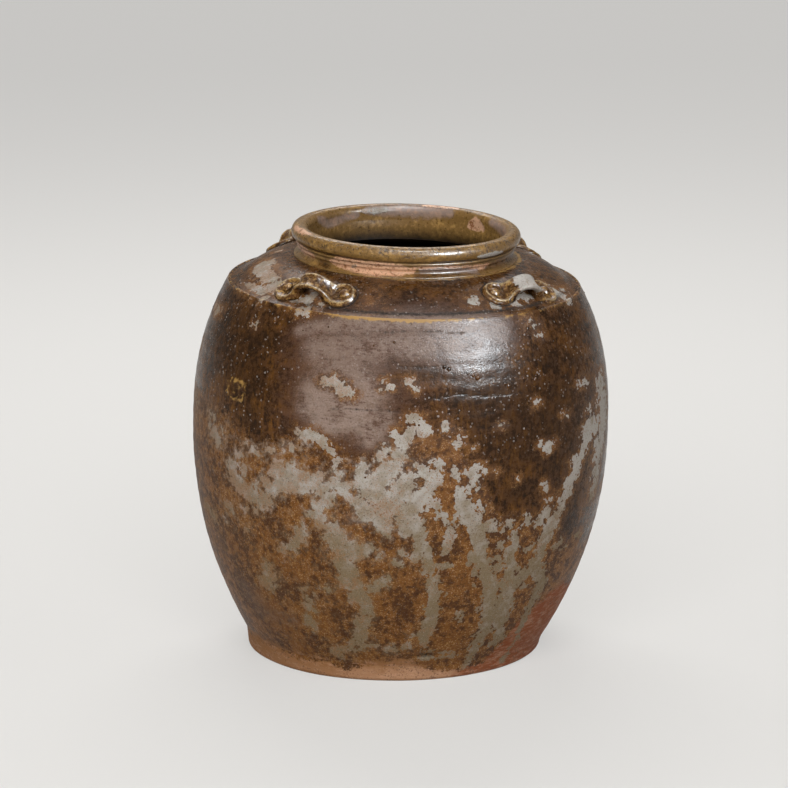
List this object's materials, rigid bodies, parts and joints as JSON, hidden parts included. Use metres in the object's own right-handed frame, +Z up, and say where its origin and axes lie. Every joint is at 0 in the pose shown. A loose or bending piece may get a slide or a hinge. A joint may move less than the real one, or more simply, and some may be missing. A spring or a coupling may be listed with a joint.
{
  "type": "martaban jar",
  "caption": "Leaning stoneware storage jar with a domed shoulder, rolled rim, flat foot and strap lugs for cords.",
  "frame": {"origin": "on the floor, under the middle of the belly; the foot's own middle is 5.1 mm towards -X, because the jar leans", "axes": "+Z up, -Y the side that the picture shows, +X to its right, the way the jar leans by 1.6 degrees"},
  "size_m": [0.3302, 0.33, 0.3422],
  "materials": {
    "bare_clay": "matt fired clay, unglazed",
    "brown_glaze": "dark brown ash glaze with grey, worn patches",
    "olive_glaze": "golden olive glaze, worn on the edge",
    "lug_glaze": "thick amber glaze, pale on the ridges"
  },
  "bodies": {
    "root": {"base_slab": "bare_clay", "lower_wall": "brown_glaze", "upper_wall": "brown_glaze", "shoulder": "brown_glaze", "collar": "olive_glaze", "rim": "olive_glaze", "lug_front_left_strap": "lug_glaze", "lug_front_left_pellet_left": "lug_glaze", "lug_front_left_pellet_right": "lug_glaze", "lug_front_right_strap": "lug_glaze", "lug_front_right_pellet_left": "lug_glaze", "lug_front_right_pellet_right": "lug_glaze", "lug_rear_right_strap": "lug_glaze", "lug_rear_right_pellet_left": "lug_glaze", "lug_rear_right_pellet_right": "lug_glaze", "lug_rear_left_strap": "lug_glaze", "lug_rear_left_pellet_left": "lug_glaze", "lug_rear_left_pellet_right": "lug_glaze"}
  },
  "joints": []
}
